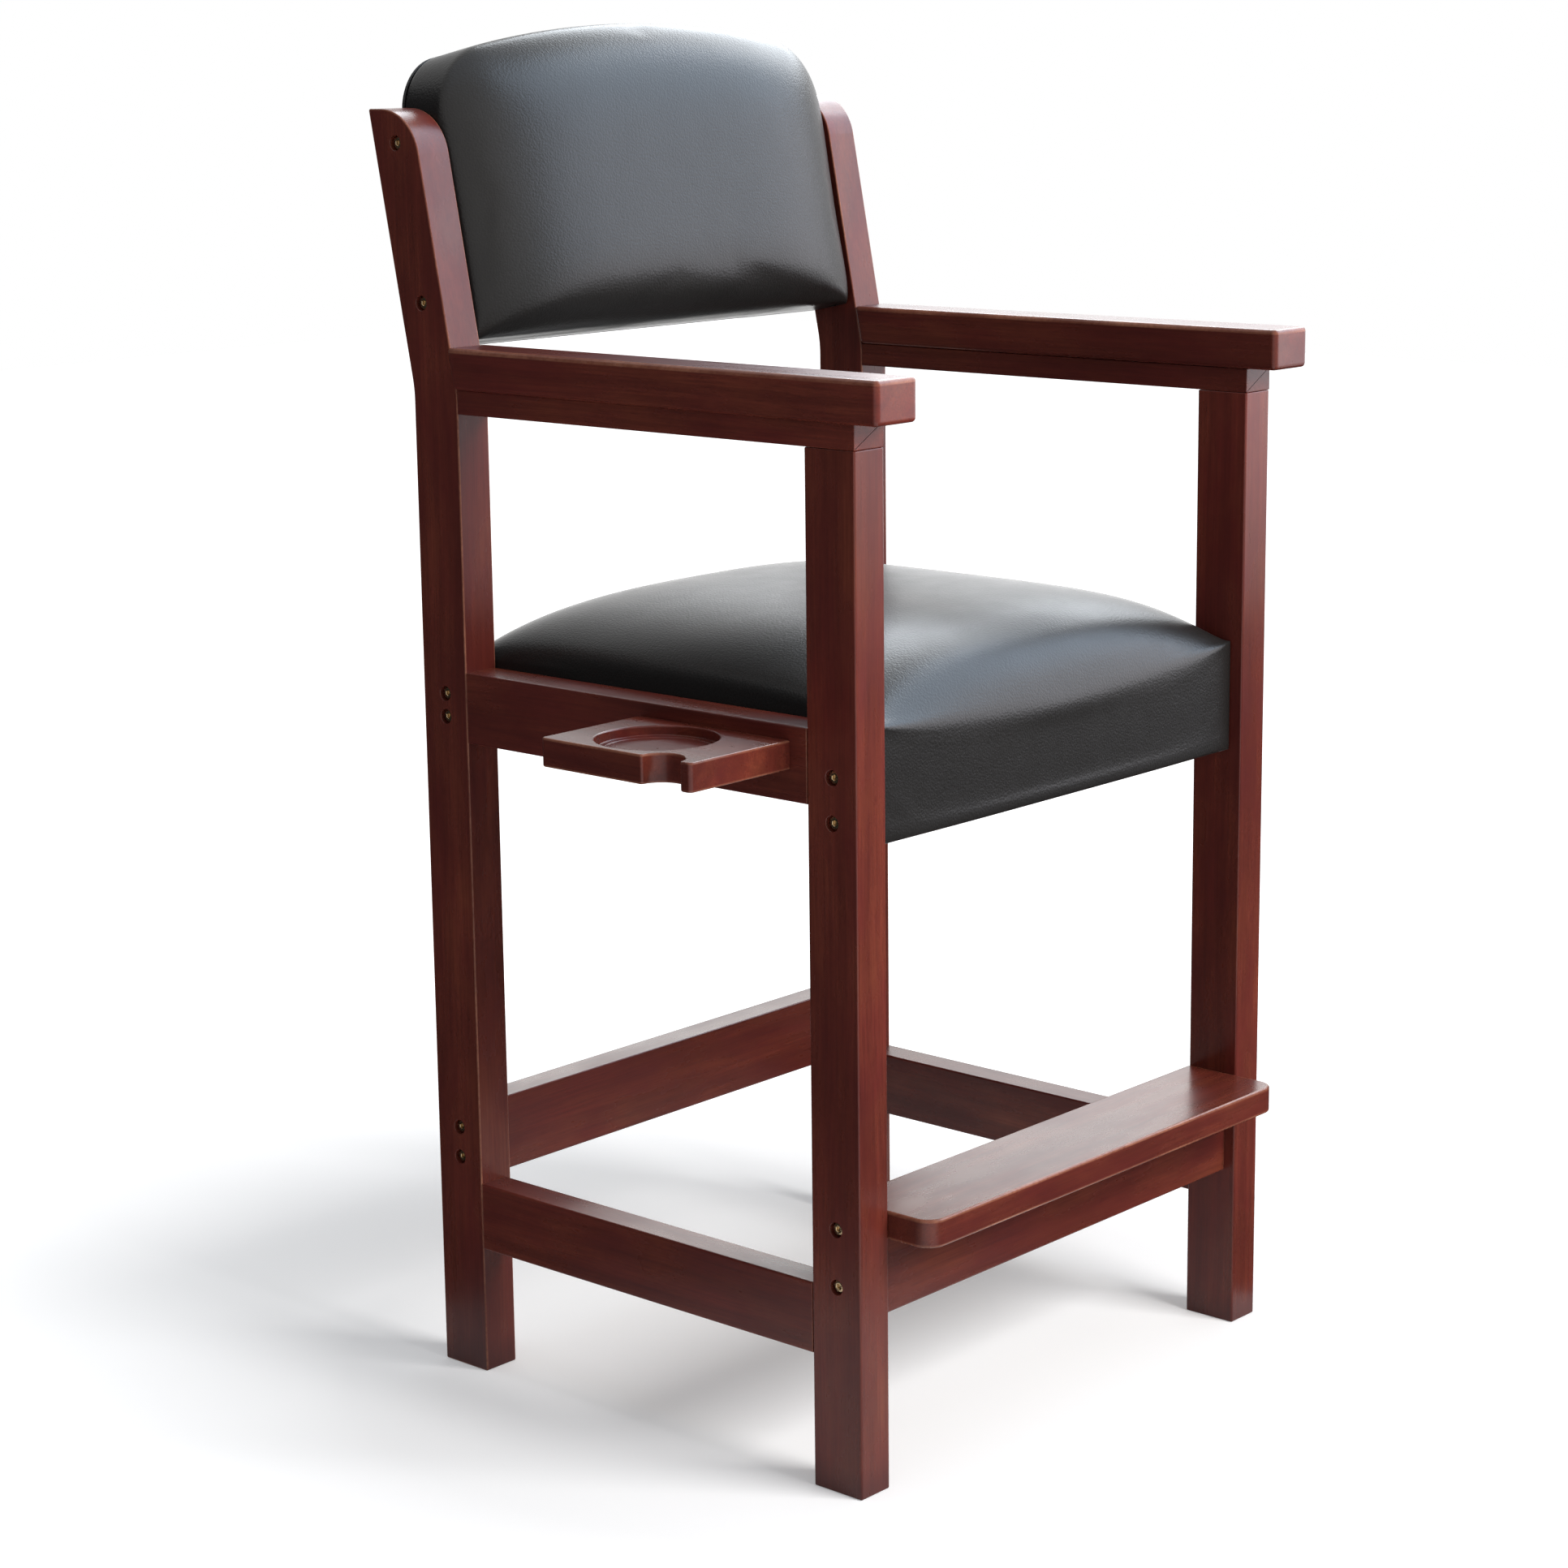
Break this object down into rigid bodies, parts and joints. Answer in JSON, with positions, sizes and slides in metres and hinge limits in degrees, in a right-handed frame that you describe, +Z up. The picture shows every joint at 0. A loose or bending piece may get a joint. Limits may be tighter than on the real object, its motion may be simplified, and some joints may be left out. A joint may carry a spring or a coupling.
{
  "type": "billiard spectator chair",
  "caption": "Tall wooden chair with arms for watching play at a billiard table, with a black padded seat and back, a footrest board and a side drink holder with a cue notch.",
  "frame": {"origin": "on the floor, under the middle of the chair's bounding box", "axes": "+Z up, the sitter faces -Y, and the drink holder is at -X, at the sitter's right"},
  "size_m": [0.7368, 0.6378, 1.2626],
  "materials": {
    "mahogany_wood": "reddish mahogany stain under semi-gloss lacquer",
    "plywood": "raw plywood",
    "black_vinyl": "black grained upholstery vinyl, soft sheen",
    "bolt_steel": "yellow zinc plated steel",
    "insert_steel": "zinc plated steel"
  },
  "bodies": {
    "root": {"back_board": "plywood", "back_cover": "black_vinyl", "back_cushion": "black_vinyl", "drink_holder": "mahogany_wood", "footrest_board": "mahogany_wood", "front_lower_stretcher": "mahogany_wood", "front_seat_rail": "mahogany_wood", "left_arm_rail": "mahogany_wood", "left_armrest": "mahogany_wood", "left_back_bolt_1": "bolt_steel", "left_back_bolt_2": "bolt_steel", "left_footrest_bolt_1": "bolt_steel", "left_footrest_insert_1": "insert_steel", "left_front_post": "mahogany_wood", "left_front_seat_bolt_1": "bolt_steel", "left_front_seat_bolt_2": "bolt_steel", "left_front_seat_insert_1": "insert_steel", "left_front_seat_insert_2": "insert_steel", "left_front_stretcher_bolt_1": "bolt_steel", "left_front_stretcher_insert_1": "insert_steel", "left_lower_side_stretcher": "mahogany_wood", "left_rear_post": "mahogany_wood", "left_rear_seat_bolt_1": "bolt_steel", "left_rear_seat_bolt_2": "bolt_steel", "left_rear_seat_insert_1": "insert_steel", "left_rear_seat_insert_2": "insert_steel", "left_rear_stretcher_bolt_1": "bolt_steel", "left_rear_stretcher_bolt_2": "bolt_steel", "left_rear_stretcher_insert_1": "insert_steel", "left_rear_stretcher_insert_2": "insert_steel", "left_seat_side_rail": "mahogany_wood", "rear_lower_stretcher": "mahogany_wood", "rear_seat_rail": "mahogany_wood", "right_arm_rail": "mahogany_wood", "right_armrest": "mahogany_wood", "right_back_bolt_1": "bolt_steel", "right_back_bolt_2": "bolt_steel", "right_footrest_bolt_1": "bolt_steel", "right_footrest_insert_1": "insert_steel", "right_front_post": "mahogany_wood", "right_front_seat_bolt_1": "bolt_steel", "right_front_seat_bolt_2": "bolt_steel", "right_front_seat_insert_1": "insert_steel", "right_front_seat_insert_2": "insert_steel", "right_front_stretcher_bolt_1": "bolt_steel", "right_front_stretcher_insert_1": "insert_steel", "right_lower_side_stretcher": "mahogany_wood", "right_rear_post": "mahogany_wood", "right_rear_seat_bolt_1": "bolt_steel", "right_rear_seat_bolt_2": "bolt_steel", "right_rear_seat_insert_1": "insert_steel", "right_rear_seat_insert_2": "insert_steel", "right_rear_stretcher_bolt_1": "bolt_steel", "right_rear_stretcher_bolt_2": "bolt_steel", "right_rear_stretcher_insert_1": "insert_steel", "right_rear_stretcher_insert_2": "insert_steel", "right_seat_side_rail": "mahogany_wood", "seat_cushion": "black_vinyl", "seat_deck": "plywood"}
  },
  "joints": []
}
